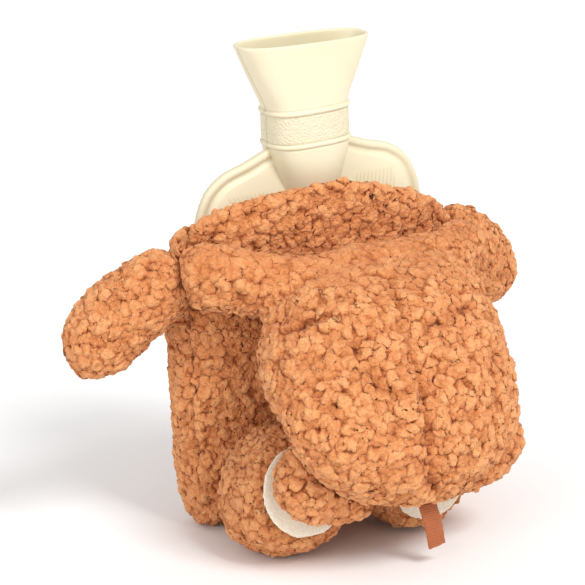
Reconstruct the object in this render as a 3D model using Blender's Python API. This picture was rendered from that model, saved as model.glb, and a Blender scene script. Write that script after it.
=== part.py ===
"""A plush animal cover of curly fleece on its rubber hot water bottle.

The stuffed head flops forward over the feet, so the bottle's funnel, neck and shoulders stand clear.
X is to the right, Y to the back and Z up. The origin is on the surface below the middle of the pouch.
Tables are in millimetres, and every mesh is made in metres.
"""

import math
from collections import namedtuple

import bpy
import numpy as np
from mathutils import Matrix, Vector

MM = 0.001

# Driving dimensions, in millimetres and degrees. A curve of 2 is an ellipse, and more is squarer.
GAP = 0.7
CLOTH = 8.0
SEAM_Y = -10.0
BASE_ROUND = 12.0
POUCH_CURVE = 2.6
WALL_ROWS = 7
BASE_ROWS = 2
HEM_ROUND = 2.5
BACK_HEM = 162.0
LIP_END = 153.5
LIP_RISE = 35.5
LIP_HALF_WIDTH = 90.0
LIP_CURVE = 1.8
LIP_SLOPE = -0.05

BOTTLE_BASE = 13.0
BOTTLE_BASE_X = 7.8
BOTTLE_LEAN = 2.8
BOTTLE_WALL = 2.6
BOTTLE_CURVE = 2.2
BOTTLE_AROUND = 32
ROOM_TOP = 170.0
ROOM_DEPTH = 1.2
MOUTH_OVERRUN = 4.0
MOUTH_FLARE = 1.02
RIM_ROLL = 2.6
RIM_FROM = 40.0
BEAD = 1.5
BEAD_HEIGHTS = (195.5, 213.5)
BEAD_HALF = 1.0

HEAD_SEAM = 5.0
HEAD_SEAM_CROWD = 0.45
HEAD_AROUND = 40
TUBE_AROUND = 16
FOOT_CURVE = 2.1
FOOT_AROUND = 24
SOLE_RADIUS = 26.0
SOLE_THICK = 2.4
SOLE_EDGE = 1.5
RIBBON_WIDTH = 11.0
RIBBON_THICK = 1.2
RIBBON_TILT = 12.0

# The columns of the tables below, one row a section.
PouchRow = namedtuple("PouchRow", "height left right front back")
BodyRow = namedtuple("BodyRow", "height half_width half_depth")
NeckRow = namedtuple("NeckRow", "height half_width half_depth curve")
HeadRow = namedtuple("HeadRow", "height left right front back curve")
TubeRow = namedtuple("TubeRow", "x y z half_height half_depth")
FootRow = namedtuple("FootRow", "forward half_width half_height")
RibbonRow = namedtuple("RibbonRow", "x y z")
Foot = namedtuple("Foot", "side x y z toe_up low size")
Panel = namedtuple("Panel", "name seam columns")

# The pile's outer face round the pouch, one row a height.
POUCH = (
    PouchRow(0.0, -72.0, 82.0, -22.0, 24.0),
    PouchRow(30.0, -79.0, 86.0, -25.0, 27.0),
    PouchRow(75.0, -82.0, 87.0, -26.5, 28.0),
    PouchRow(125.0, -86.0, 86.0, -25.5, 26.0),
    PouchRow(158.0, -84.0, 84.0, -27.0, 23.0),
    PouchRow(190.0, -77.0, 77.0, -33.0, 20.0),
)

# The bottle's flat body in its own frame, one row a height above its base.
BODY = (
    BodyRow(0.0, 52.0, 3.5),
    BodyRow(3.0, 58.0, 6.5),
    BodyRow(10.0, 63.5, 10.0),
    BodyRow(25.0, 66.0, 13.0),
    BodyRow(80.0, 68.0, 14.5),
    BodyRow(130.0, 68.5, 13.5),
    BodyRow(153.0, 67.5, 10.5),
    BodyRow(165.0, 65.0, 8.0),
    BodyRow(175.0, 59.5, 6.2),
    BodyRow(181.8, 50.0, 5.2),
    BodyRow(185.8, 37.0, 4.6),
    BodyRow(191.5, 22.0, 4.2),
)

# Its neck and funnel, with the curve of each section.
NECK = (
    NeckRow(138.0, 22.0, 10.0, 2.4),
    NeckRow(163.0, 22.0, 15.0, 2.5),
    NeckRow(183.0, 23.0, 16.5, 2.8),
    NeckRow(193.0, 23.5, 16.5, 3.0),
    NeckRow(213.0, 23.5, 16.0, 3.0),
    NeckRow(218.5, 24.5, 15.6, 3.0),
    NeckRow(232.5, 31.5, 15.2, 3.0),
    NeckRow(250.0, 39.8, 15.0, 2.9),
)

# The stuffed head in flat sections, one row a height.
HEAD = (
    HeadRow(37.0, -8.0, 24.0, -119.0, -98.0, 2.0),
    HeadRow(42.0, -31.0, 36.0, -126.0, -91.0, 2.0),
    HeadRow(53.0, -51.0, 49.0, -132.0, -86.0, 2.1),
    HeadRow(65.0, -63.0, 58.0, -134.0, -84.0, 2.2),
    HeadRow(76.0, -69.0, 64.0, -134.0, -81.0, 2.2),
    HeadRow(90.0, -72.0, 67.0, -131.0, -60.0, 2.3),
    HeadRow(105.0, -73.0, 68.0, -126.0, -44.0, 2.3),
    HeadRow(120.0, -67.0, 67.0, -117.0, -34.0, 2.3),
    HeadRow(133.0, -58.0, 65.0, -107.0, -29.0, 2.3),
    HeadRow(144.0, -48.0, 60.0, -95.0, -30.0, 2.3),
    HeadRow(151.0, -38.0, 50.0, -80.0, -33.0, 2.2),
    HeadRow(154.0, -26.0, 36.0, -68.0, -38.0, 2.0),
)

# The roll of the neck between the arms, and the arms, each along its middle line.
NECK_ROLL = (
    TubeRow(-88.0, -24.0, 148.0, 15.0, 10.0),
    TubeRow(-79.0, -30.0, 149.5, 18.5, 13.5),
    TubeRow(-60.0, -39.0, 146.5, 17.5, 14.5),
    TubeRow(-30.0, -47.0, 141.5, 16.5, 16.0),
    TubeRow(5.0, -49.0, 142.0, 18.0, 17.0),
    TubeRow(40.0, -46.0, 141.0, 18.0, 16.0),
    TubeRow(65.0, -38.0, 142.0, 17.0, 14.0),
    TubeRow(80.0, -29.0, 143.5, 16.0, 13.0),
    TubeRow(88.0, -23.0, 143.0, 12.0, 9.0),
)
ARM_LEFT = (
    TubeRow(-84.5, -11.0, 146.5, 15.5, 12.0),
    TubeRow(-89.0, -10.5, 144.5, 18.5, 15.0),
    TubeRow(-98.0, -8.0, 140.0, 20.0, 17.0),
    TubeRow(-110.0, -5.0, 132.0, 21.5, 18.0),
    TubeRow(-121.0, -2.0, 121.0, 22.0, 18.0),
    TubeRow(-131.0, 0.0, 110.5, 20.0, 15.5),
    TubeRow(-138.0, 1.0, 103.5, 13.0, 10.5),
    TubeRow(-141.5, 2.0, 100.5, 6.0, 5.0),
)
ARM_RIGHT = (
    TubeRow(86.5, -3.0, 143.5, 15.0, 12.0),
    TubeRow(90.0, -1.5, 141.5, 18.0, 15.0),
    TubeRow(95.0, 2.0, 138.0, 20.5, 17.0),
    TubeRow(106.0, 6.0, 130.0, 22.0, 18.0),
    TubeRow(116.0, 9.0, 120.0, 22.5, 18.0),
    TubeRow(124.0, 11.0, 110.0, 20.0, 15.5),
    TubeRow(130.0, 12.0, 102.0, 14.0, 10.5),
    TubeRow(133.0, 12.0, 98.0, 7.0, 5.0),
)

# An ear, from the crown of the head to its tip.
EAR_LEFT = (
    TubeRow(-20.0, -100.0, 37.0, 9.0, 7.0),
    TubeRow(-27.0, -99.5, 41.0, 15.0, 10.5),
    TubeRow(-38.0, -98.0, 46.0, 20.5, 12.5),
    TubeRow(-49.0, -96.5, 52.0, 23.0, 13.0),
    TubeRow(-58.0, -95.5, 57.5, 22.0, 12.0),
    TubeRow(-65.0, -95.0, 62.0, 17.0, 9.5),
    TubeRow(-69.5, -95.0, 64.5, 8.5, 5.5),
)
EAR_RIGHT = (
    TubeRow(26.0, -99.0, 38.5, 8.0, 6.5),
    TubeRow(33.0, -98.5, 42.0, 13.5, 9.5),
    TubeRow(43.0, -97.5, 47.5, 18.5, 11.5),
    TubeRow(53.0, -96.5, 53.0, 21.5, 12.0),
    TubeRow(62.5, -95.5, 58.5, 20.5, 11.0),
    TubeRow(69.5, -95.0, 63.0, 14.0, 8.0),
    TubeRow(73.5, -95.0, 65.0, 7.0, 4.5),
)

# A foot in its own frame, from the pouch to the sole at the front.
FOOT = (
    FootRow(0.0, 17.0, 18.0),
    FootRow(3.0, 23.5, 25.5),
    FootRow(10.0, 29.0, 31.5),
    FootRow(20.0, 31.5, 34.5),
    FootRow(31.0, 31.5, 34.5),
    FootRow(41.0, 30.5, 33.0),
    FootRow(48.0, 28.5, 30.5),
    FootRow(51.0, 25.5, 27.5),
)

# Where each foot is sewn on. Its low part is wider by the share that low says.
FEET = (
    Foot(side="left", x=-47.5, y=-28.0, z=26.8, toe_up=16.0, low=0.2, size=1.0),
    Foot(side="right", x=32.0, y=-25.5, z=30.0, toe_up=3.0, low=0.0, size=0.93),
)

FRONT = Panel("pouch_front", SEAM_Y - GAP, 25)
BACK = Panel("pouch_back", SEAM_Y, 29)

# The ribbon, down its middle line from the crown of the head.
RIBBON = (
    RibbonRow(6.5, -112.5, 35.4),
    RibbonRow(8.5, -113.5, 28.0),
    RibbonRow(11.0, -113.0, 20.0),
    RibbonRow(14.0, -111.5, 9.0),
)

COLOURS = {
    "plush": (0.62, 0.28, 0.12),
    "fleece": (0.84, 0.75, 0.56),
    "rubber": (0.83, 0.76, 0.57),
    "ribbon": (0.47, 0.11, 0.02),
}


def clear_scene():
    for old in list(bpy.data.objects):
        bpy.data.objects.remove(old, do_unlink=True)


def material(name, slot, roughness):
    made = bpy.data.materials.new(name)
    made.use_nodes = True
    shader = made.node_tree.nodes["Principled BSDF"]
    shader.inputs["Base Color"].default_value = (*COLOURS[slot], 1.0)
    shader.inputs["Roughness"].default_value = roughness
    shader.inputs["Metallic"].default_value = 0.0
    return made


def new_object(name, points, faces, finish):
    """One mesh object from points in millimetres."""
    mesh = bpy.data.meshes.new(name)
    mesh.from_pydata([Vector(p) * MM for p in points], [], faces)
    mesh.validate()
    mesh.shade_smooth()
    made = bpy.data.objects.new(name, mesh)
    made.data.materials.append(finish)
    bpy.context.collection.objects.link(made)
    return made


def smooth_rows(rows, steps):
    """Rows through a table's rows on a smooth curve, with this many steps between two."""
    kind = type(rows[0])
    table = np.array(rows, float)
    ends = np.vstack([2 * table[0] - table[1], table, 2 * table[-1] - table[-2]])
    out = []
    for a, b, c, d in zip(ends, ends[1:], ends[2:], ends[3:]):
        for t in np.arange(steps) / steps:
            out.append(
                b + 0.5 * t * (c - a + t * (2 * a - 5 * b + 4 * c - d + t * (3 * (b - c) + d - a)))
            )
    out.append(table[-1])
    return [kind(*row) for row in out]


def row_at(rows, height):
    """The row of a table at one height, smooth between its rows."""
    columns = np.array(smooth_rows(rows, 6)).T
    return type(rows[0])(*(np.interp(height, columns[0], column) for column in columns))


def signed_power(value, power):
    return math.copysign(abs(value) ** power, value)


def oval(half_width, half_depth, curve, angle):
    """A point of a rounded oval."""
    return (
        half_width * signed_power(math.cos(angle), 2 / curve),
        half_depth * signed_power(math.sin(angle), 2 / curve),
    )


def loft(name, rings, finish):
    """A closed solid through rings of points, each end closed by a fan on its middle."""
    count = len(rings[0])
    points = [tuple(p) for ring in rings for p in ring]
    faces = []
    for i in range(len(rings) - 1):
        for j in range(count):
            k = (j + 1) % count
            faces.append((i * count + j, i * count + k, (i + 1) * count + k, (i + 1) * count + j))
    for ring, start, order in ((rings[0], 0, -1), (rings[-1], (len(rings) - 1) * count, 1)):
        middle = len(points)
        points.append(tuple(np.mean(ring, axis=0)))
        for j in range(count):
            corner = (start + j, start + (j + 1) % count)
            faces.append((*corner[::order], middle))
    made = new_object(name, points, faces, finish)
    face_outward(made)
    return made


def face_outward(made):
    """Turns all faces round where the mesh's volume comes out negative."""
    mesh = made.data
    mesh.calc_loop_triangles()
    corners = [[mesh.vertices[i].co for i in t.vertices] for t in mesh.loop_triangles]
    if sum(a.dot(b.cross(c)) for a, b, c in corners) < 0:
        mesh.flip_normals()


def tube(name, rows, finish, steps=2):
    """A stuffed tube along a middle line, its sections upright and square to the line."""
    table = smooth_rows(rows, steps)
    line = np.array([(row.x, row.y, row.z) for row in table])
    rings = []
    for row, middle, along in zip(table, line, np.gradient(line, axis=0)):
        along = Vector(along).normalized()
        across = along.cross(Vector((0, 0, 1))).normalized()
        up = across.cross(along)
        ring = []
        for j in range(TUBE_AROUND):
            angle = math.tau * j / TUBE_AROUND
            out = across * row.half_depth * math.cos(angle) + up * row.half_height * math.sin(angle)
            ring.append(Vector(middle) + out)
        rings.append(ring)
    return loft(name, rings, finish)


def boolean(made, other, operation):
    cut = made.modifiers.new(f"{operation} {other.name}", "BOOLEAN")
    cut.operation = operation
    cut.solver = "EXACT"
    cut.object = other


def helper(made):
    """A cutter or a joined shape, which isn't a piece of its own."""
    made.hide_render = True
    made.display_type = "WIRE"
    return made


def swollen(made, gap):
    """A hidden copy of a piece as it is, with its faces moved out by a gap."""
    graph = bpy.context.evaluated_depsgraph_get()
    mesh = bpy.data.meshes.new_from_object(made.evaluated_get(graph))
    mesh.name = f"{made.name}_room"
    for vertex, normal in zip(mesh.vertices, [v.normal.copy() for v in mesh.vertices]):
        vertex.co += normal * gap * MM
    copy = bpy.data.objects.new(mesh.name, mesh)
    copy.matrix_world = made.matrix_world
    bpy.context.collection.objects.link(copy)
    return helper(copy)


def keep_clear(made, *neighbours):
    """Cuts a piece back to a gap from pieces that it is sewn to or rests against."""
    for other in neighbours:
        bpy.context.view_layer.update()
        boolean(made, swollen(other, GAP), "DIFFERENCE")


# ---- the pouch -------------------------------------------------------------------------------

def panel_angle(panel, rise, share):
    """The angle round the pouch of a share of a panel's width, from one side seam to the other."""
    first, last = (math.pi - rise, math.tau + rise) if panel is FRONT else (rise, math.pi - rise)
    return first + share * (last - first)


def pouch_point(panel, height, inset, share, scale=1.0):
    """A point of a panel's wall, moved in by an inset and scaled towards the middle of its seam."""
    row = row_at(POUCH, height)
    middle = (row.left + row.right) / 2
    half_width = (row.right - row.left) / 2 - inset
    deep = (row.front + row.back) / 2
    half_depth = (row.back - row.front) / 2 - inset
    rise = math.asin(signed_power((panel.seam - deep) / half_depth, POUCH_CURVE / 2))
    x, y = oval(half_width, half_depth, POUCH_CURVE, panel_angle(panel, rise, share))
    return scale * (middle + x), panel.seam + scale * (deep + y - panel.seam)


def panel_skin(panel, inset):
    """Rows of points down one face of a panel: its wall, its rounded foot and its base."""
    shares = [j / (panel.columns - 1) for j in range(panel.columns)]
    turn = BASE_ROUND - inset
    rows = []
    for i in range(WALL_ROWS):
        row = []
        for share in shares:
            x, _ = pouch_point(panel, BASE_ROUND, inset, share)
            height = BASE_ROUND + (1 - i / WALL_ROWS) * (hem_height(panel, x) - BASE_ROUND)
            row.append((*pouch_point(panel, height, inset, share), height))
        rows.append(row)
    for degrees in (15, 40, 65, 90):
        bend = math.radians(degrees)
        moved_in, height = inset + turn * (1 - math.cos(bend)), BASE_ROUND - turn * math.sin(bend)
        rows.append([(*pouch_point(panel, BASE_ROUND, moved_in, share), height) for share in shares])
    for i in range(BASE_ROWS):
        scale = 1 - (i + 1) / (BASE_ROWS + 1)
        base = [pouch_point(panel, BASE_ROUND, BASE_ROUND, share, scale) for share in shares]
        rows.append([(x, y, inset) for x, y in base])
    return rows


def hem_height(panel, x):
    """The front panel runs up into a lip behind the neck, and the back panel's hem is level."""
    if panel is BACK:
        return BACK_HEM
    rise = LIP_RISE * (1 - min(1.0, abs(x) / LIP_HALF_WIDTH) ** LIP_CURVE)
    return LIP_END + rise + LIP_SLOPE * x


def pouch_panel(panel, finish):
    """A panel's outer and inner face, joined over its rounded hem, at its two seams and below."""
    columns = panel.columns
    outer, inner = panel_skin(panel, 0.0), panel_skin(panel, CLOTH)
    hem = (np.array(outer[0]) + np.array(inner[0])) / 2 + (0.0, 0.0, HEM_ROUND)
    rows = [*reversed(outer), [tuple(p) for p in hem], *inner]
    points = [p for row in rows for p in row]
    faces = []
    for i in range(len(rows) - 1):
        for j in range(columns - 1):
            a = i * columns + j
            faces.append((a, a + 1, a + 1 + columns, a + columns))
    last = len(rows) - 1
    under, over = len(points), len(points) + 1
    points += [(0.0, panel.seam, 0.0), (0.0, panel.seam, CLOTH)]
    for j in range(columns - 1):
        faces.append((j + 1, j, under))
        faces.append((last * columns + j, last * columns + j + 1, over))
    half = len(outer)
    for edge, order in ((0, 1), (columns - 1, -1)):
        for i in range(half - 1):
            low, high = i * columns + edge, (i + 1) * columns + edge
            inside_high, inside_low = (last - i - 1) * columns + edge, (last - i) * columns + edge
            faces.append((low, high, inside_high, inside_low)[::order])
        crown = [(half + step) * columns + edge for step in (-1, 0, 1)]
        faces.append(tuple(crown[::order]))
        faces.append((under, edge, last * columns + edge, over)[::order])
    made = new_object(panel.name, points, faces, finish)
    face_outward(made)
    return made


# ---- the bottle ------------------------------------------------------------------------------

def oval_ring(height, half_width, half_depth, curve):
    ring = []
    for j in range(BOTTLE_AROUND):
        x, y = oval(half_width, half_depth, curve, math.tau * j / BOTTLE_AROUND)
        ring.append((x, y, height))
    return ring


def bottle_body(name, inset, finish):
    """The flat body, or with an inset the room inside it, up to where the neck opens into it."""
    rings = []
    for row in BODY:
        if inset and not inset < row.height < ROOM_TOP:
            continue
        half_depth = max(row.half_depth - inset, ROOM_DEPTH)
        rings.append(oval_ring(row.height, row.half_width - 2 * inset, half_depth, BOTTLE_CURVE))
    return loft(name, rings, finish)


def bottle_neck(name, inset, finish):
    """The neck with its two beads and the funnel, or with an inset the bore right through them."""
    rings = []
    for row in smooth_rows(NECK, 3):
        out = -inset
        if not inset and any(abs(row.height - level) < BEAD_HALF for level in BEAD_HEIGHTS):
            out = BEAD
        rings.append(oval_ring(row.height, row.half_width + out, row.half_depth + out, row.curve))
    if inset:
        rings.append([(MOUTH_FLARE * x, MOUTH_FLARE * y, z + MOUTH_OVERRUN) for x, y, z in rings[-1]])
    return loft(name, rings, finish)


def rim_roll(finish):
    """The rolled rim up both sides of the flat body, ending in the wall of the neck."""
    curve = bpy.data.curves.new("rim_roll", "CURVE")
    curve.dimensions = "3D"
    curve.bevel_depth = RIM_ROLL * MM
    curve.bevel_resolution = 1
    curve.use_fill_caps = True
    side = [row for row in smooth_rows(BODY, 2) if row.height > RIM_FROM]
    for hand in (-1, 1):
        line = curve.splines.new("POLY")
        line.points.add(len(side) - 1)
        for point, row in zip(line.points, side):
            point.co = (hand * row.half_width * MM, 0.0, row.height * MM, 1.0)
    shape = bpy.data.objects.new("rim_curve", curve)
    bpy.context.collection.objects.link(shape)
    bpy.context.view_layer.update()
    graph = bpy.context.evaluated_depsgraph_get()
    mesh = bpy.data.meshes.new_from_object(shape.evaluated_get(graph))
    bpy.data.objects.remove(shape, do_unlink=True)
    made = bpy.data.objects.new("rim_roll", mesh)
    made.data.materials.append(finish)
    bpy.context.collection.objects.link(made)
    return made


def bottle(finish):
    """The open bottle: body, rim and neck joined, and hollow from the funnel to the base."""
    made = bottle_body("bottle", 0.0, finish)
    parts = (
        (bottle_neck("bottle_neck", 0.0, finish), "UNION"),
        (rim_roll(finish), "UNION"),
        (bottle_body("bottle_room", BOTTLE_WALL, finish), "DIFFERENCE"),
        (bottle_neck("bottle_bore", BOTTLE_WALL, finish), "DIFFERENCE"),
    )
    stand = Matrix.Translation(Vector((BOTTLE_BASE_X, 0.0, BOTTLE_BASE)) * MM)
    stand @= Matrix.Rotation(-math.radians(BOTTLE_LEAN), 4, "Y")
    made.matrix_world = stand
    for other, operation in parts:
        other.matrix_world = stand
        boolean(made, helper(other), operation)
    return made


# ---- the stuffed pieces ----------------------------------------------------------------------

def head(finish):
    """The flopped head, drawn in along its middle seam, with the roll of the neck behind it."""
    low, high = HEAD[0].height, HEAD[-1].height
    rings = []
    for row in smooth_rows(HEAD, 2):
        half_width, half_depth = (row.right - row.left) / 2, (row.back - row.front) / 2
        seam_depth = HEAD_SEAM * math.sin(math.pi * (row.height - low) / (high - low))
        ring = []
        for j in range(HEAD_AROUND):
            turn = math.tau * (j / HEAD_AROUND - 0.25)
            angle = turn - HEAD_SEAM_CROWD * math.cos(turn)
            x, y = oval(half_width, half_depth, row.curve, angle)
            if j == 0:
                y += seam_depth
            ring.append((row.left + half_width + x, row.front + half_depth + y, row.height))
        rings.append(ring)
    made = loft("head", rings, finish)
    boolean(made, helper(tube("neck_roll", NECK_ROLL, finish, 3)), "UNION")
    return made


def foot_frame(place):
    turned = Matrix.Rotation(-math.radians(place.toe_up), 4, "X")
    return Matrix.Translation(Vector((place.x, place.y, place.z))) @ turned


def foot(place, finish):
    """A ball of a foot with a flat front, flat below where it stands."""
    frame = foot_frame(place)
    rings = []
    for row in FOOT:
        ring = []
        for j in range(FOOT_AROUND):
            x, z = oval(row.half_width, row.half_height, FOOT_CURVE, math.tau * j / FOOT_AROUND)
            x *= 1 - place.low * z / row.half_height
            point = frame @ (Vector((x, -row.forward, z)) * place.size)
            point.z = max(point.z, 0.0)
            ring.append(point)
        rings.append(ring)
    return loft(f"foot_{place.side}", rings, finish)


def sole(place, finish):
    """The round fleece patch on the front of a foot."""
    frame = foot_frame(place)
    back = FOOT[-1].forward + GAP / place.size
    rings = []
    for lift, radius in ((0.0, -SOLE_EDGE), (0.5, 0.0), (1.0, -SOLE_EDGE)):
        ring = []
        for j in range(BOTTLE_AROUND):
            x, z = oval(SOLE_RADIUS + radius, SOLE_RADIUS + radius, 2, math.tau * j / BOTTLE_AROUND)
            ring.append(frame @ (Vector((x, -back - lift * SOLE_THICK, z)) * place.size))
        rings.append(ring)
    return loft(f"sole_{place.side}", rings, finish)


def ribbon(finish):
    """The flat ribbon end that hangs from the crown, with its cut end square."""
    half, thick, tilt = RIBBON_WIDTH / 2, RIBBON_THICK / 2, math.radians(RIBBON_TILT)
    rings = []
    for row in smooth_rows(RIBBON, 3):
        ring = []
        for a, b in ((-half, -thick), (half, -thick), (half, thick), (-half, thick)):
            ring.append((row.x + a * math.cos(tilt), row.y + b, row.z + a * math.sin(tilt)))
        rings.append(ring)
    return loft("ribbon_tab", rings, finish)


def main():
    clear_scene()
    front = pouch_panel(FRONT, material("front_plush", "plush", 0.95))
    back = pouch_panel(BACK, material("back_plush", "plush", 0.95))
    bottle(material("bottle_rubber", "rubber", 0.4))
    skull = head(material("head_plush", "plush", 0.95))
    keep_clear(skull, front)
    for side, rows in (("left", ARM_LEFT), ("right", ARM_RIGHT)):
        arm = tube(f"arm_{side}", rows, material(f"arm_{side}_plush", "plush", 0.95))
        keep_clear(arm, front, back, skull)
    standing = []
    for place in FEET:
        ball = foot(place, material(f"foot_{place.side}_plush", "plush", 0.95))
        keep_clear(ball, front)
        patch = sole(place, material(f"sole_{place.side}_fleece", "fleece", 0.9))
        standing += [ball, patch]
    keep_clear(skull, *standing)
    for side, rows in (("left", EAR_LEFT), ("right", EAR_RIGHT)):
        ear = tube(f"ear_{side}", rows, material(f"ear_{side}_plush", "plush", 0.95))
        keep_clear(ear, skull, *standing)
    ribbon(material("ribbon_weave", "ribbon", 0.6))


main()
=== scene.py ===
"""The looks of a plush animal cover of curly fleece on its rubber hot water bottle.

Lengths in tables are in millimetres. MM turns them into metres.
"""

import math
from collections import namedtuple

import bpy
import numpy as np
from mathutils import Matrix, Vector, noise
from mathutils.kdtree import KDTree


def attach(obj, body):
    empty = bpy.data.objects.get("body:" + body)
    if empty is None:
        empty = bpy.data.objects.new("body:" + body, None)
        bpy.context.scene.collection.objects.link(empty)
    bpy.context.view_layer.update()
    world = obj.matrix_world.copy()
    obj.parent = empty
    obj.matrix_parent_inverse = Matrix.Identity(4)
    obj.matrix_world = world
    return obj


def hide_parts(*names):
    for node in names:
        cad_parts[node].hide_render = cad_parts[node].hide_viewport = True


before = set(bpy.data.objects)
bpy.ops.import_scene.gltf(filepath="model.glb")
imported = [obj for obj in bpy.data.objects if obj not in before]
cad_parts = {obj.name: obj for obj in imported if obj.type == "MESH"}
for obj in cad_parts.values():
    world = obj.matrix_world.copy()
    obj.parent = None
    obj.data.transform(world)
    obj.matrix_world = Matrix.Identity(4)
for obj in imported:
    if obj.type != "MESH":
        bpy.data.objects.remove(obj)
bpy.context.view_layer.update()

MM = 0.001

# Camera, in metres, with its lens and sensor in millimetres.
CAMERA_AT = Vector((-0.8045, -1.3856, 0.600))
CAMERA_AIM = Vector((-0.0084, 0.0023, 0.1223))
LENS = 189.5
SENSOR = 36.0

# Floor and lamps, in metres and watts. Each lamp is aimed at the middle of the object.
FLOOR_REACH = 6.0
FLOOR_DROP = 0.0008
SKY = 0.72
Lamp = namedtuple("Lamp", "name at size power")
LAMPS = (
    Lamp("key", (1.0, -4.6, 5.2), 2.2, 285.0),
    Lamp("fill", (-4.0, -2.5, 2.5), 2.5, 60.0),
)
LAMP_AIM = Vector((0, 0, 0.1))

# Mesh sizes, in millimetres, before one subdivision.
COARSE = 1.7
COARSE_PANEL = 2.0
COARSE_HEAD = 1.86
COARSE_SOLE = 1.4
COARSE_RIBBON = 0.6
SMOOTH_STEPS = 10

# The pile, in millimetres. Tufts stand SPACING apart and up to TALL high, and their feet are
# sunk into the solid by SINK of that, so that their tips end at its outer face.
SPACING = 4.8
TALL = 4.5
SINK = 0.62
TUFT_NEAR = 6
DRIFT = 1.1
FIBRE = 1.9
ROUGH = 0.46
CLUSTER_REACH = 2.3
KNOT_REACH = 0.52
CREASE_WIDE = 2.6
CREASE_DEEP = 2.4
# How much of a point's height, of its sideways lean and of its painted light and shade (pale on the
# tufts, darker in the gaps between them and in the creases) each scale makes.
HEIGHT = {"cluster": 0.26, "tuft": 0.54, "knot": 0.28, "slow": 0.06, "fibre": 0.08}
LEAN = {"tuft": 0.42, "knot": 0.16}
BULGE = {"tuft": 0.38, "knot": 0.22}
PAINTED_LIGHT_SHARE = {"tuft": 0.66, "knot": 0.26, "cluster": 0.18, "fibre": 0.16, "crease": 0.30}
PALE_BASE = 0.02
PALE_CLOTH = 0.45
# How far the pile is shortened, and its tufts widened, in some places.
LIP_WIDER = 0.15
ROLL_SHORTER = 0.35
ROLL_WIDER = 0.15
# The fine curls in the material: cells to a metre, and how far they are pulled about, in metres.
CURL_SCALE = 560.0
CURL_DRIFT = 0.0022

# Sewn and pulled lines on the head: the seam between its gores, and folds beside it. They are sunk
# into the pile and darkened with painted shade.
HEAD_CREASES = (
    ((4, -77, 152), (-3, -97, 142), (-5, -108, 132), (-4, -120, 109), (-4, -132, 76), (-1, -130, 49)),
    ((8, -108, 129), (18, -107, 133), (28, -103, 135), (43, -99, 134)),
    ((-34, -108, 126), (-33, -116, 116), (-29, -122, 108), (-20, -126, 103)),
    ((-60, -77, 130), (-52, -84, 134), (-38, -90, 139)),
)

# Flat sizes of the cloth pieces, in metres and square metres.
SOLES = {"left": 0.052, "right": 0.048}
RIBBON_RIB = 1.3
RIBBON_RELIEF = 0.1

# The bottle, in millimetres and degrees, in its own frame, which stands at its base.
BOTTLE_BASE = 13.0
BOTTLE_BASE_X = 7.8
BOTTLE_LEAN = 2.8
BOTTLE_CURVE = 2.2
CROWN_REACH = 45.0
RIM_ROLL = 2.6
GROOVE = (4.2, 8.5)
GROOVE_HALF = 1.3
ROLL_INNER = 2.0
RIM_ROUND = 1.2
RIM_HEIGHT = 247.6
RIM_TILT = 1.5
TILT_FROM = 220.0
BORE_FROM = 160.0
BEAD = 0.9
BEAD_HALF = 1.2
BEAD_GROOVE = 0.35
BEAD_GROOVE_WIDE = 1.0
BEAD_HEIGHTS = (195.5, 213.5)
PEBBLED = (197.0, 212.0)
SEAM_HALF = 0.45
SEAM_RAISED = 0.25
RIB_PITCH = 2.5
RIB_LEAN = 0.28
RIB_TALL = 0.8
# The ribs fade in and out between these: across the shoulder, then up it.
RIBS_INNER = (24, 27)
RIBS_OUTER = (50, 53)
RIBS_BELOW = (120, 124)
RIBS_ABOVE = (170, 173)
# How brown the rim's mould line is, and how dark the painted shade in the hollows between the ribs
# is, of 1.
RIM_LINE = 0.5
RIM_LINE_HALF = 0.5
RIB_HOLLOW_SHADE = 0.45
# How the body's mesh is laid out: rows below and above BODY_SPLIT of the rim's length, and
# columns from the rim to the middle line.
BODY_SPLIT = 0.55
BODY_LOW_STEPS = 16
BODY_HIGH_STEPS = 110
BODY_COLUMNS = 120
BODY_MIDDLE = 0.74
RIM_SHARES = np.array([0.0, 0.006, 0.015, 0.027, 0.042, 0.058, 0.072, 0.084, 0.095])
NECK_AROUND = 96

# The flat body, one row a height above its base.
BodyRow = namedtuple("BodyRow", "height half_width half_depth")
BODY = (
    BodyRow(0.0, 52.0, 3.5),
    BodyRow(3.0, 58.0, 6.5),
    BodyRow(10.0, 63.5, 10.0),
    BodyRow(25.0, 66.0, 13.0),
    BodyRow(80.0, 68.0, 14.5),
    BodyRow(130.0, 68.5, 13.5),
    BodyRow(153.0, 67.5, 10.5),
    BodyRow(165.0, 65.0, 8.0),
    BodyRow(175.0, 59.5, 6.2),
    BodyRow(181.8, 50.0, 5.2),
    BodyRow(185.8, 37.0, 4.6),
    BodyRow(191.5, 22.0, 4.2),
)

# Its neck and funnel, with the curve of each section: 2 is an ellipse, and more is squarer.
NeckRow = namedtuple("NeckRow", "height half_width half_depth curve")
NECK = (
    NeckRow(138.0, 15.5, 10.0, 2.2),
    NeckRow(163.0, 16.5, 14.5, 2.2),
    NeckRow(178.0, 19.5, 16.0, 2.4),
    NeckRow(193.0, 23.0, 16.5, 3.0),
    NeckRow(213.0, 23.5, 16.0, 3.0),
    NeckRow(218.5, 24.5, 15.6, 3.0),
    NeckRow(232.5, 31.5, 15.2, 3.0),
    NeckRow(250.0, 39.8, 15.0, 2.9),
)

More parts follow.
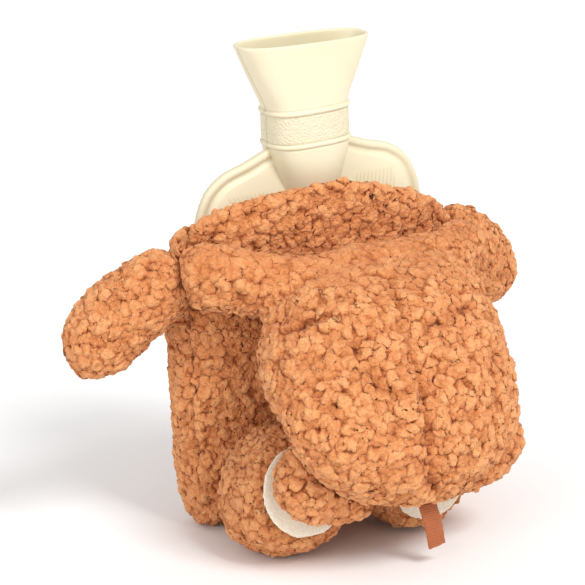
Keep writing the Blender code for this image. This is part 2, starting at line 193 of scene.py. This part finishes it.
# Colours, as linear red, green and blue.
# The rubber's line colour serves both the mould line and the painted shade between the shoulder ribs.
RUBBER = {"shade": (0.75, 0.67, 0.46), "light": (0.80, 0.73, 0.53), "line": (0.50, 0.36, 0.16)}
PLUSH = {
    # From the crack colour through low and mid to top runs painted shade in the gaps of the pile to
    # painted light on the tuft tops.
    "painted_crack_shade": (0.15, 0.032, 0.009),
    "low": (0.43, 0.125, 0.037),
    "mid": (0.66, 0.24, 0.086),
    "top": (0.81, 0.37, 0.152),
    "sheen": (1.0, 0.72, 0.5),
}
SOLE = {"shade": (0.84, 0.74, 0.54), "light": (0.96, 0.92, 0.79)}
RIBBON = {"shade": (0.26, 0.055, 0.010), "light": (0.50, 0.13, 0.022)}
FLOOR = (0.95, 0.95, 0.95)


# ---- small helpers ---------------------------------------------------------------------------

def link(made):
    bpy.context.scene.collection.objects.link(made)
    return made


def coordinates(mesh):
    co = np.empty(len(mesh.vertices) * 3, np.float32)
    mesh.vertices.foreach_get("co", co)
    return co.reshape(-1, 3).astype(float)


def normals(mesh):
    values = np.empty(len(mesh.vertices) * 3, np.float32)
    mesh.vertex_normals.foreach_get("vector", values)
    return values.reshape(-1, 3).astype(float)


def move_to(mesh, places):
    mesh.vertices.foreach_set("co", places.astype(np.float32).ravel())
    mesh.update()


def apply_modifiers(made):
    graph = bpy.context.evaluated_depsgraph_get()
    mesh = bpy.data.meshes.new_from_object(made.evaluated_get(graph))
    old = made.data
    made.modifiers.clear()
    made.data = mesh
    bpy.data.meshes.remove(old)
    return made


def unit(vectors):
    return vectors / np.maximum(np.linalg.norm(vectors, axis=1, keepdims=True), 1e-12)


def paint(mesh, name, values):
    """A number at each vertex, which the material reads by name."""
    attribute = mesh.attributes.new(name, "FLOAT", "POINT")
    attribute.data.foreach_set("value", values.astype(np.float32))


def waves(places, wavelength, seed, octaves=3):
    """Smooth seeded unevenness from -1 to 1, summed from slanted waves."""
    random = np.random.default_rng(seed)
    total = np.zeros(len(places))
    for octave in range(octaves):
        for _ in range(5):
            way = random.normal(size=3)
            way *= math.tau * 1.6 ** octave / (wavelength * MM * np.linalg.norm(way))
            total += np.sin(places @ way + random.uniform(0, math.tau)) / 1.5 ** octave
    return total / 4.2


def smooth_rows(rows, steps):
    """Rows through a table's rows on a smooth curve, with this many steps between two."""
    table = np.array(rows, float)
    ends = np.vstack([2 * table[0] - table[1], table, 2 * table[-1] - table[-2]])
    out = []
    for a, b, c, d in zip(ends, ends[1:], ends[2:], ends[3:]):
        for t in np.arange(steps) / steps:
            out.append(
                b + 0.5 * t * (c - a + t * (2 * a - 5 * b + 4 * c - d + t * (3 * (b - c) + d - a)))
            )
    out.append(table[-1])
    return np.array(out)


def smoothstep(value, low, high):
    t = np.clip((value - low) / (high - low), 0, 1)
    return t * t * (3 - 2 * t)


def face_outward(mesh):
    mesh.calc_loop_triangles()
    corners = np.empty(len(mesh.loop_triangles) * 3, np.int32)
    mesh.loop_triangles.foreach_get("vertices", corners)
    a, b, c = coordinates(mesh)[corners.reshape(-1, 3)].transpose(1, 0, 2)
    if (a * np.cross(b, c)).sum() < 0:
        mesh.flip_normals()


def grid_faces(rows, columns, start=0, closed=False):
    faces = []
    for i in range(rows - 1):
        for j in range(columns - (not closed)):
            k = (j + 1) % columns
            low, high = start + i * columns, start + (i + 1) * columns
            faces.append((low + j, low + k, high + k, high + j))
    return faces


# ---- materials -------------------------------------------------------------------------------

def new_material(name):
    made = bpy.data.materials.new(name)
    made.use_nodes = True
    tree = made.node_tree
    shader = tree.nodes["Principled BSDF"]
    return made, tree, shader


def node(tree, kind, **values):
    made = tree.nodes.new(kind)
    for key, value in values.items():
        if key in made.inputs:
            made.inputs[key].default_value = value
        else:
            setattr(made, key, value)
    return made


def ramp(tree, source, stops):
    made = tree.nodes.new("ShaderNodeValToRGB")
    elements = made.color_ramp.elements
    while len(elements) < len(stops):
        elements.new(0.5)
    for element, (position, colour) in zip(elements, stops):
        element.position = position
        element.color = (*colour, 1.0)
    tree.links.new(source, made.inputs["Fac"])
    return made.outputs["Color"]


def plush_material(name):
    """Curly pile: painted shade between the tufts and painted light on them, with fine curls whose
    edges are darkened by painted shade, fibres and a soft sheen.
    """
    made, tree, shader = new_material(name)
    height = node(tree, "ShaderNodeAttribute", attribute_name="tuft")
    place = tree.nodes.new("ShaderNodeTexCoord")
    drift = node(tree, "ShaderNodeTexNoise", Scale=380.0, Detail=2.0, Roughness=0.5)
    tree.links.new(place.outputs["Object"], drift.inputs["Vector"])
    bent = node(tree, "ShaderNodeVectorMath", operation="MULTIPLY_ADD")
    tree.links.new(drift.outputs["Color"], bent.inputs[0])
    bent.inputs[1].default_value = (CURL_DRIFT, CURL_DRIFT, CURL_DRIFT)
    tree.links.new(place.outputs["Object"], bent.inputs[2])
    curls = node(tree, "ShaderNodeTexVoronoi", Scale=CURL_SCALE)
    tree.links.new(bent.outputs[0], curls.inputs["Vector"])
    fibre = node(tree, "ShaderNodeTexNoise", Scale=1700.0, Detail=2.0, Roughness=0.7)
    tree.links.new(bent.outputs[0], fibre.inputs["Vector"])
    # The tone starts from the painted light and shade of the pile, is darkened at the curl cells'
    # edges as painted shade, and varies with the fibre noise.
    tone = height.outputs["Fac"]
    for source, share in ((curls.outputs["Distance"], -0.34), (fibre.outputs["Fac"], 0.42)):
        added = node(tree, "ShaderNodeMath", operation="MULTIPLY_ADD")
        tree.links.new(source, added.inputs[0])
        added.inputs[1].default_value = share
        tree.links.new(tone, added.inputs[2])
        tone = added.outputs[0]
    # The ramp turns the tone into colour: painted shade in the gaps, painted light on the tops.
    stops = [
        (0.0, PLUSH["painted_crack_shade"]), (0.26, PLUSH["low"]), (0.58, PLUSH["mid"]), (0.95, PLUSH["top"]),
    ]
    tree.links.new(ramp(tree, tone, stops), shader.inputs["Base Color"])
    curl_bump = node(tree, "ShaderNodeBump", Strength=0.9, Distance=0.0009)
    curl_bump.invert = True
    tree.links.new(curls.outputs["Distance"], curl_bump.inputs["Height"])
    bump = node(tree, "ShaderNodeBump", Strength=0.6, Distance=0.0005)
    tree.links.new(fibre.outputs["Fac"], bump.inputs["Height"])
    tree.links.new(curl_bump.outputs["Normal"], bump.inputs["Normal"])
    tree.links.new(bump.outputs["Normal"], shader.inputs["Normal"])
    shader.inputs["Roughness"].default_value = 0.95
    shader.inputs["Specular IOR Level"].default_value = 0.1
    shader.inputs["Sheen Weight"].default_value = 0.3
    shader.inputs["Sheen Roughness"].default_value = 0.5
    shader.inputs["Sheen Tint"].default_value = (*PLUSH["sheen"], 1.0)
    return made


def fleece_material():
    """Short cream fleece, its pile brushed flat."""
    made, tree, shader = new_material("sole_fleece")
    place = tree.nodes.new("ShaderNodeTexCoord")
    pile = node(tree, "ShaderNodeTexNoise", Scale=700.0, Detail=4.0, Roughness=0.65)
    tree.links.new(place.outputs["Object"], pile.inputs["Vector"])
    stops = [(0.25, SOLE["shade"]), (0.7, SOLE["light"])]
    tree.links.new(ramp(tree, pile.outputs["Fac"], stops), shader.inputs["Base Color"])
    bump = node(tree, "ShaderNodeBump", Strength=0.6, Distance=0.001)
    tree.links.new(pile.outputs["Fac"], bump.inputs["Height"])
    tree.links.new(bump.outputs["Normal"], shader.inputs["Normal"])
    shader.inputs["Roughness"].default_value = 0.9
    shader.inputs["Sheen Weight"].default_value = 0.3
    return made


def rubber_material():
    """Cream rubber with a soft gloss, a pebbled band, the faint tan line of the mould and painted
    shade in the hollows between the shoulder ribs.
    """
    made, tree, shader = new_material("bottle_rubber")
    place = tree.nodes.new("ShaderNodeTexCoord")
    cloud = node(tree, "ShaderNodeTexNoise", Scale=25.0, Detail=2.0, Roughness=0.5)
    grain = node(tree, "ShaderNodeTexNoise", Scale=900.0, Detail=2.0, Roughness=0.6)
    pebbles = node(tree, "ShaderNodeTexVoronoi", Scale=900.0)
    for texture in (cloud, grain, pebbles):
        tree.links.new(place.outputs["Object"], texture.inputs["Vector"])
    stops = [(0.3, RUBBER["shade"]), (0.7, RUBBER["light"])]
    # The mould line and the painted shade in the rib hollows are mixed in here.
    seam_and_rib_shade = node(tree, "ShaderNodeAttribute", attribute_name="seam_and_rib_shade")
    lined = tree.nodes.new("ShaderNodeMix")
    lined.data_type = "RGBA"
    faint = node(tree, "ShaderNodeMath", operation="MULTIPLY")
    tree.links.new(seam_and_rib_shade.outputs["Fac"], faint.inputs[0])
    faint.inputs[1].default_value = 0.7
    tree.links.new(faint.outputs[0], lined.inputs["Factor"])
    tree.links.new(ramp(tree, cloud.outputs["Fac"], stops), lined.inputs["A"])
    lined.inputs["B"].default_value = (*RUBBER["line"], 1.0)
    tree.links.new(lined.outputs["Result"], shader.inputs["Base Color"])
    band = node(tree, "ShaderNodeAttribute", attribute_name="pebble")
    bumps = node(tree, "ShaderNodeMath", operation="MULTIPLY")
    tree.links.new(band.outputs["Fac"], bumps.inputs[0])
    tree.links.new(pebbles.outputs["Distance"], bumps.inputs[1])
    pebble_bump = node(tree, "ShaderNodeBump", Strength=0.9, Distance=0.0006)
    tree.links.new(bumps.outputs[0], pebble_bump.inputs["Height"])
    bump = node(tree, "ShaderNodeBump", Strength=0.10, Distance=0.0003)
    tree.links.new(grain.outputs["Fac"], bump.inputs["Height"])
    tree.links.new(pebble_bump.outputs["Normal"], bump.inputs["Normal"])
    tree.links.new(bump.outputs["Normal"], shader.inputs["Normal"])
    shader.inputs["Roughness"].default_value = 0.45
    return made


def ribbon_material():
    """Woven rust ribbon, pale on its cross ribs."""
    made, tree, shader = new_material("ribbon_weave")
    place = tree.nodes.new("ShaderNodeTexCoord")
    thread = node(tree, "ShaderNodeTexNoise", Scale=1600.0, Detail=2.0, Roughness=0.6)
    tree.links.new(place.outputs["Object"], thread.inputs["Vector"])
    rib = node(tree, "ShaderNodeAttribute", attribute_name="rib")
    tone = node(tree, "ShaderNodeMath", operation="MULTIPLY_ADD")
    tree.links.new(rib.outputs["Fac"], tone.inputs[0])
    tone.inputs[1].default_value = 0.4
    tree.links.new(thread.outputs["Fac"], tone.inputs[2])
    stops = [(0.4, RIBBON["shade"]), (1.0, RIBBON["light"])]
    tree.links.new(ramp(tree, tone.outputs[0], stops), shader.inputs["Base Color"])
    shader.inputs["Roughness"].default_value = 0.55
    shader.inputs["Sheen Weight"].default_value = 0.2
    return made


# ---- the pile --------------------------------------------------------------------------------

def scatter(places, reach, seed):
    """Points spread over the vertices, no two nearer than the reach there."""
    random = np.random.default_rng(seed)
    cell = reach.max()
    taken = {}
    kept = []
    keys = np.floor(places / cell).astype(int).tolist()
    points = places.tolist()
    apart = (reach ** 2).tolist()
    around = [(a, b, c) for a in (-1, 0, 1) for b in (-1, 0, 1) for c in (-1, 0, 1)]
    for i in random.permutation(len(places)).tolist():
        x, y, z = keys[i]
        px, py, pz = points[i]
        clear = True
        for a, b, c in around:
            for qx, qy, qz in taken.get((x + a, y + b, z + c), ()):
                if (qx - px) ** 2 + (qy - py) ** 2 + (qz - pz) ** 2 < apart[i]:
                    clear = False
                    break
            if not clear:
                break
        if clear:
            taken.setdefault((x, y, z), []).append((px, py, pz))
            kept.append(i)
    return np.array(kept)


def tufts(places, outward, reach, seed, long=1.5):
    """Domes round scattered points: how high each vertex is on its dome, from 0 to 1, which way
    the dome leans, and which way its flank bulges."""
    random = np.random.default_rng(seed)
    seeds = scatter(places, reach, seed)
    count = len(seeds)
    tree = KDTree(count)
    for i, place in enumerate(places[seeds]):
        tree.insert(place, i)
    tree.balance()
    around = unit(np.cross(outward[seeds], random.normal(size=(count, 3))))
    aside = np.cross(outward[seeds], around)
    stretch = np.sqrt(random.uniform(1.0, long, count))
    size = 0.86 * reach[seeds] * random.uniform(0.78, 1.08, count)
    tall = random.uniform(0.42, 1.0, count)
    tips = around * random.uniform(-1, 1, (count, 1)) + aside * random.uniform(-1, 1, (count, 1))
    near = np.array([[hit[1] for hit in tree.find_n(place, TUFT_NEAR)] for place in places])
    away = places[:, None, :] - places[seeds][near]
    u = (away * around[near]).sum(2) / (size * stretch)[near]
    v = (away * aside[near]).sum(2) / (size / stretch)[near]
    w = (away * outward[seeds][near]).sum(2) / size[near]
    inside = np.clip(1.0 - u * u - v * v - 0.6 * w * w, 0, 1)
    domes = tall[near] * np.sqrt(inside)
    rows = np.arange(len(places))
    best = domes.argmax(1)
    high = domes[rows, best]
    bulge = away[rows, best] * (inside[rows, best] ** 0.5)[:, None]
    return high, tips[near[rows, best]], bulge


def curl(mesh, pile, reach, seed, tall, long=1.7, creases=()):
    """Raises the pile on a mesh: clusters, tufts on them, small knots on those, and rough fibres, and
    paints light and shade into it: pale on the tufts, darker between them and in the creases.
    """
    places, outward = coordinates(mesh), normals(mesh)
    tall = tall * pile * MM
    warped = places + DRIFT * MM * np.stack([waves(places, 7, seed + k) for k in (1, 2, 3)], 1)
    cluster, _, _ = tufts(warped, outward, reach * CLUSTER_REACH, seed + 5, 1.6)
    high, leaning, bulge = tufts(warped, outward, reach, seed, long)
    knot, knot_lean, knot_bulge = tufts(warped, outward, reach * KNOT_REACH, seed + 7, 2.2)
    slow = waves(places, 30, seed + 11)
    fibre = np.array([noise.noise_vector(Vector(place)) for place in (places + seed) / (FIBRE * MM)])
    out = (fibre * outward).sum(1)
    height = HEIGHT["cluster"] * cluster + HEIGHT["tuft"] * high + HEIGHT["knot"] * knot
    height = height + HEIGHT["slow"] * slow + HEIGHT["fibre"] * out
    lift = height * tall
    moved = places + outward * (lift - SINK * tall)[:, None]
    moved += leaning * (LEAN["tuft"] * lift)[:, None] + bulge * (BULGE["tuft"] * pile)[:, None]
    moved += knot_lean * (LEAN["knot"] * lift)[:, None] + knot_bulge * (BULGE["knot"] * pile)[:, None]
    moved += fibre * (ROUGH * MM * pile)[:, None]
    sunk = crease_depth(places, creases)
    moved -= outward * (CREASE_DEEP * MM * sunk)[:, None]
    move_to(mesh, moved)
    # Painted light and shade: pale where the pile stands high, darker in the gaps between the tufts
    # and in the sunk creases.
    tone = PAINTED_LIGHT_SHARE["tuft"] * high + PAINTED_LIGHT_SHARE["knot"] * knot + PAINTED_LIGHT_SHARE["cluster"] * cluster
    tone = tone + PAINTED_LIGHT_SHARE["fibre"] * out - PAINTED_LIGHT_SHARE["crease"] * sunk + PALE_BASE
    paint(mesh, "tuft", np.clip(tone * pile + PALE_CLOTH * (1 - pile), 0, 1))


def crease_depth(places, creases):
    """How far each point is into the nearest sewn or pulled line: 1 on a line, 0 away from it."""
    sunk = np.zeros(len(places))
    for line in creases:
        nodes = smooth_rows(line, 8) * MM
        away = np.full(len(places), np.inf)
        for a, b in zip(nodes, nodes[1:]):
            along = np.clip((places - a) @ (b - a) / max((b - a) @ (b - a), 1e-12), 0, 1)
            away = np.minimum(away, np.linalg.norm(places - a - along[:, None] * (b - a), axis=1))
        sunk = np.maximum(sunk, np.exp(-(away / (CREASE_WIDE * MM)) ** 2))
    return sunk


def dense_copy(name, node_name, coarse):
    """A fine even mesh of a CAD node's shape, its facets smoothed away."""
    made = link(bpy.data.objects.new(name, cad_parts[node_name].data.copy()))
    made.data.materials.clear()
    remesh = made.modifiers.new("even", "REMESH")
    remesh.mode = "VOXEL"
    remesh.voxel_size = coarse * MM
    smooth = made.modifiers.new("smooth", "SMOOTH")
    smooth.factor = 0.5
    smooth.iterations = SMOOTH_STEPS
    finer = made.modifiers.new("finer", "SUBSURF")
    finer.levels = finer.render_levels = 1
    apply_modifiers(made)
    made.data.shade_smooth()
    return made


def plush_piece(name, node_name, seed, pile_of=None, coarse=COARSE, fill=0.6, creases=()):
    """A plush piece over a CAD node, with its pile raised and its own pile material."""
    made = dense_copy(name, node_name, coarse)
    places = coordinates(made.data)
    pile, wide = np.ones(len(places)), np.ones(len(places))
    if pile_of is not None:
        pile, wide = pile_of(places, normals(made.data))
    curl(made.data, pile, SPACING * MM * wide, seed, TALL * wide, creases=creases)
    made.data.materials.append(plush_material(f"{name}_pile"))
    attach(made, "root")
    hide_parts(node_name)
    return made


def pouch_pile(places, outward):
    """The pile is on the pouch's outer face and over its hem, and larger tufts are on the lip."""
    away = places * (0.35, 1.0, 0.0)
    facing = (unit(away) * outward).sum(1)
    z = places[:, 2] / MM
    over_hem = np.clip((outward[:, 2] - 0.1) * 3, 0, 1) * (z > 140)
    wide = 1 + LIP_WIDER * np.clip((z - 150) / 15, 0, 1)
    return np.maximum(np.clip(facing * 4 + 0.6, 0, 1), over_hem), wide


def head_pile(places, outward):
    """The head's pile is short and soft along the roll of the neck."""
    z = places[:, 2] / MM
    roll = np.clip((z - 146) / 8, 0, 1)
    return 1 - ROLL_SHORTER * roll, 1 + ROLL_WIDER * roll


def plain_piece(name, node_name, material, coarse):
    """A smooth cloth piece over a CAD node."""
    made = dense_copy(name, node_name, coarse)
    made.data.materials.append(material)
    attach(made, "root")
    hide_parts(node_name)
    return made


# ---- the bottle ------------------------------------------------------------------------------

def stand_bottle(name, places, faces, seam_and_rib_shade, pebble):
    """A mesh of the bottle's own frame, in millimetres, stood where the CAD bottle stands."""
    mesh = bpy.data.meshes.new(name)
    mesh.from_pydata([Vector(p) * MM for p in places], [], faces)
    mesh.validate()
    stand = Matrix.Translation(Vector((BOTTLE_BASE_X, 0.0, BOTTLE_BASE)) * MM)
    mesh.transform(stand @ Matrix.Rotation(-math.radians(BOTTLE_LEAN), 4, "Y"))
    made = link(bpy.data.objects.new(name, mesh))
    paint(mesh, "seam_and_rib_shade", np.asarray(seam_and_rib_shade, float))
    paint(mesh, "pebble", np.asarray(pebble, float))
    welded = made.modifiers.new("weld", "WELD")
    welded.merge_threshold = 0.00005
    apply_modifiers(made)
    face_outward(made.data)
    made.data.shade_smooth()
    return made


def rim_line():
    """The outer edge of the flat body's right side: even steps along it, and its fine line."""
    fine = smooth_rows(BODY, 40)
    edge = fine[:, [1, 0]]
    ahead = np.gradient(edge, axis=0)
    out = np.stack([ahead[:, 1], -ahead[:, 0]], 1)
    edge = edge + RIM_ROLL * out / np.linalg.norm(out, axis=1, keepdims=True)
    edge = edge[edge[:, 1] > 0.5]
    along = np.concatenate([[0], np.cumsum(np.linalg.norm(np.diff(edge, axis=0), axis=1))])
    low = np.linspace(0, along[-1] * BODY_SPLIT, BODY_LOW_STEPS, endpoint=False)
    high = np.linspace(along[-1] * BODY_SPLIT, along[-1], BODY_HIGH_STEPS)
    steps = np.concatenate([low, high])
    return np.stack([np.interp(steps, along, column) for column in edge.T], 1), edge


def body_crown(inward, height):
    """Half the body's thickness inside its rim: a crown that dips to a groove beside the rim."""
    fine = smooth_rows(BODY, 12)
    half_width = np.interp(height, fine[:, 0], fine[:, 1])
    half_depth = np.interp(height, fine[:, 0], fine[:, 2])
    near = np.clip((inward - RIM_ROLL) / np.minimum(half_width, CROWN_REACH), 0, 1)
    crown = half_depth * (1 - (1 - near) ** BOTTLE_CURVE) ** (1 / BOTTLE_CURVE)
    return np.maximum(crown * smoothstep(inward, *GROOVE), GROOVE_HALF * (inward > ROLL_INNER))


def shoulder_ribs(x, height):
    """Where the shoulders are ribbed, and how near each point is to the top of its rib."""
    ribbed = smoothstep(np.abs(x), *RIBS_INNER) * (1 - smoothstep(np.abs(x), *RIBS_OUTER))
    ribbed *= (1 - smoothstep(height, *RIBS_ABOVE)) * smoothstep(height, *RIBS_BELOW)
    phase = (x - RIB_LEAN * height) / RIB_PITCH
    return ribbed, 1 - np.abs(2 * (phase - np.floor(phase)) - 1)


def bottle_body():
    """The flat body: a rolled rim, a groove inside it, crowned faces and fine slanted ribs."""
    line, edge = rim_line()
    middle = np.stack([np.zeros(len(line)), line[:, 1] * BODY_MIDDLE], 1)
    share = np.concatenate([RIM_SHARES, np.linspace(RIM_SHARES[-1], 1, BODY_COLUMNS)[1:]])
    flat = line[:, None, :] + (middle - line)[:, None, :] * share[None, :, None]
    x, height = flat.reshape(-1, 2).T
    inward = np.full(len(x), np.inf)
    for point in edge[::4]:
        inward = np.minimum(inward, np.hypot(x - point[0], height - point[1]))
    inward[np.arange(len(line)) * len(share)] = 0.0
    roll = np.sqrt(np.clip(RIM_ROLL ** 2 - (inward - RIM_ROLL) ** 2, 0, None))
    depth = np.maximum(body_crown(inward, height), roll)
    ribbed, ridge = shoulder_ribs(x, height)
    depth += RIB_TALL * ribbed * (ridge - 0.5)
    places, faces = [], []
    for hand, side in ((1, 1), (1, -1), (-1, 1), (-1, -1)):
        quads = grid_faces(len(line), len(share), len(places))
        faces += [quad[::hand * side] for quad in quads]
        places += list(zip(hand * x, side * depth, height))
    faces += base_faces(len(share), len(line) * len(share))
    lined = RIM_LINE * np.exp(-(inward / RIM_LINE_HALF) ** 2)
    # The rim's mould line, and painted shade in the hollows between the shoulder ribs.
    seam_and_rib_shade = np.tile(lined + RIB_HOLLOW_SHADE * ribbed * (1 - ridge), 4)
    return stand_bottle("rubber_body", places, faces, seam_and_rib_shade, np.zeros(len(places)))


def base_faces(columns, count):
    """Closes the flat body below, between its front and back, on both hands."""
    faces = []
    for hand, order in ((0, 1), (2, -1)):
        front, back = hand * count, (hand + 1) * count
        for j in range(columns - 1):
            faces.append((front + j, front + j + 1, back + j + 1, back + j)[::order])
    return faces


def neck_rows():
    """The rows of the neck up its outside, over its round rim and down its bore: a height, how far
    it stands out, and whether it is outside."""
    heights = np.unique(np.concatenate([
        np.arange(138, 192, 3.0),
        np.arange(192, 218, 0.3),
        np.arange(218, RIM_HEIGHT, 2.0),
        [RIM_HEIGHT],
    ]))
    rows = [(height, neck_bulge(height), True) for height in heights]
    for turn in (30, 60, 90, 120, 150):
        bend = math.radians(turn)
        lift = RIM_ROUND * math.sin(bend)
        rows.append((RIM_HEIGHT + lift, -RIM_ROUND * (1 - math.cos(bend)), False))
    rows += [(height, -2 * RIM_ROUND, False) for height in heights[heights > BORE_FROM][::-1]]
    return rows


def bottle_neck():
    """The neck with its beads and pebbled band, the funnel, its rounded rim and its bore."""
    fine = smooth_rows(NECK, 12)
    beside_seam = np.array([-2, -1, 1, 2]) * 0.0035
    angles = np.sort(np.concatenate([
        np.arange(NECK_AROUND) * math.tau / NECK_AROUND,
        beside_seam + math.tau,
        beside_seam + math.pi,
    ]) % math.tau)
    rows = neck_rows()
    places, seam_and_rib_shade, pebble = [], [], []
    for height, out, outside in rows:
        _, half_width, half_depth, curve = (
            np.interp(min(height, NECK[-1].height), fine[:, 0], column) for column in fine.T
        )
        for angle in angles:
            c, q = math.cos(angle), math.sin(angle)
            x = (half_width + out) * math.copysign(abs(c) ** (2 / curve), c)
            y = (half_depth + out) * math.copysign(abs(q) ** (2 / curve), q)
            line = math.exp(-(y / SEAM_HALF) ** 2) * outside
            slant = RIM_TILT * (1 - x / 40) * max(0.0, (height - TILT_FROM) / 30)
            places.append((x + math.copysign(SEAM_RAISED * line, x), y, height + slant))
            seam_and_rib_shade.append(line)
            pebble.append(float(outside and PEBBLED[0] < height < PEBBLED[1]))
    faces = grid_faces(len(rows), len(angles), 0, True)
    for row, order in ((0, -1), (len(rows) - 1, 1)):
        faces.append(tuple(range(row * len(angles), (row + 1) * len(angles)))[::order])
    return stand_bottle("rubber_neck", places, faces, seam_and_rib_shade, pebble)


def neck_bulge(height):
    """How far the two round beads stand out, with a fine groove beside each."""
    out = 0.0
    for level in BEAD_HEIGHTS:
        away = abs(height - level)
        if away < BEAD_HALF:
            out += BEAD * math.sqrt(1 - (away / BEAD_HALF) ** 2)
        elif away < BEAD_HALF + BEAD_GROOVE_WIDE:
            out -= BEAD_GROOVE
    return out


# ---- build -----------------------------------------------------------------------------------

def build_cover():
    plush_piece(
        "plush_head", "head", 11, pile_of=head_pile, coarse=COARSE_HEAD, creases=HEAD_CREASES,
    )
    for side, seed in (("left", 21), ("right", 31)):
        plush_piece(f"plush_arm_{side}", f"arm_{side}", seed)
        plush_piece(f"plush_ear_{side}", f"ear_{side}", seed + 3)
        plush_piece(f"plush_foot_{side}", f"foot_{side}", seed + 6)
    panel = {"pile_of": pouch_pile, "coarse": COARSE_PANEL, "fill": None}
    front = plush_piece("fleece_front", "pouch_front", 41, **panel)
    back = plush_piece("fleece_back", "pouch_back", 51, **panel)
    for side, across in SOLES.items():
        sole = plain_piece(
            f"fleece_sole_{side}", f"sole_{side}", fleece_material(), COARSE_SOLE,
        )
    build_ribbon()


def build_ribbon():
    ribbon = plain_piece("ribbed_ribbon", "ribbon_tab", ribbon_material(), COARSE_RIBBON)
    places, outward = coordinates(ribbon.data), normals(ribbon.data)
    ribs = np.sin(math.tau * places[:, 2] / (RIBBON_RIB * MM))
    move_to(ribbon.data, places + outward * (RIBBON_RELIEF * MM * ribs)[:, None])
    paint(ribbon.data, "rib", 0.5 + 0.5 * ribs)


def build_bottle():
    rubber = rubber_material()
    for piece in (bottle_body(), bottle_neck()):
        piece.data.materials.append(rubber)
        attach(piece, "root")
        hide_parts("bottle")


def build_stage():
    mesh = bpy.data.meshes.new("floor")
    far = FLOOR_REACH
    corners = [(-far, -far, 0), (far, -far, 0), (far, far, 0), (-far, far, 0)]
    mesh.from_pydata(corners, [], [(0, 1, 2, 3)])
    floor = link(bpy.data.objects.new("floor", mesh))
    made, _, shader = new_material("floor_pale")
    shader.inputs["Base Color"].default_value = (*FLOOR, 1.0)
    shader.inputs["Roughness"].default_value = 0.9
    floor.data.materials.append(made)
    floor.location.z = -FLOOR_DROP
    world = bpy.data.worlds.new("studio")
    bpy.context.scene.world = world
    world.use_nodes = True
    background = world.node_tree.nodes["Background"]
    background.inputs["Color"].default_value = (1.0, 1.0, 1.0, 1.0)
    background.inputs["Strength"].default_value = SKY
    for lamp in LAMPS:
        light = bpy.data.lights.new(lamp.name, "AREA")
        light.size = lamp.size
        light.energy = lamp.power
        made = link(bpy.data.objects.new(lamp.name, light))
        made.location = lamp.at
        made.rotation_euler = (LAMP_AIM - Vector(lamp.at)).to_track_quat("-Z", "Y").to_euler()


def build_camera():
    data = bpy.data.cameras.new("camera")
    data.lens = LENS
    data.sensor_width = SENSOR
    data.clip_end = 20.0
    camera = link(bpy.data.objects.new("camera", data))
    camera.location = CAMERA_AT
    camera.rotation_euler = (CAMERA_AIM - CAMERA_AT).to_track_quat("-Z", "Y").to_euler()
    bpy.context.scene.camera = camera
    bpy.context.scene.view_settings.view_transform = "Standard"


build_camera()
build_stage()
build_bottle()
build_cover()
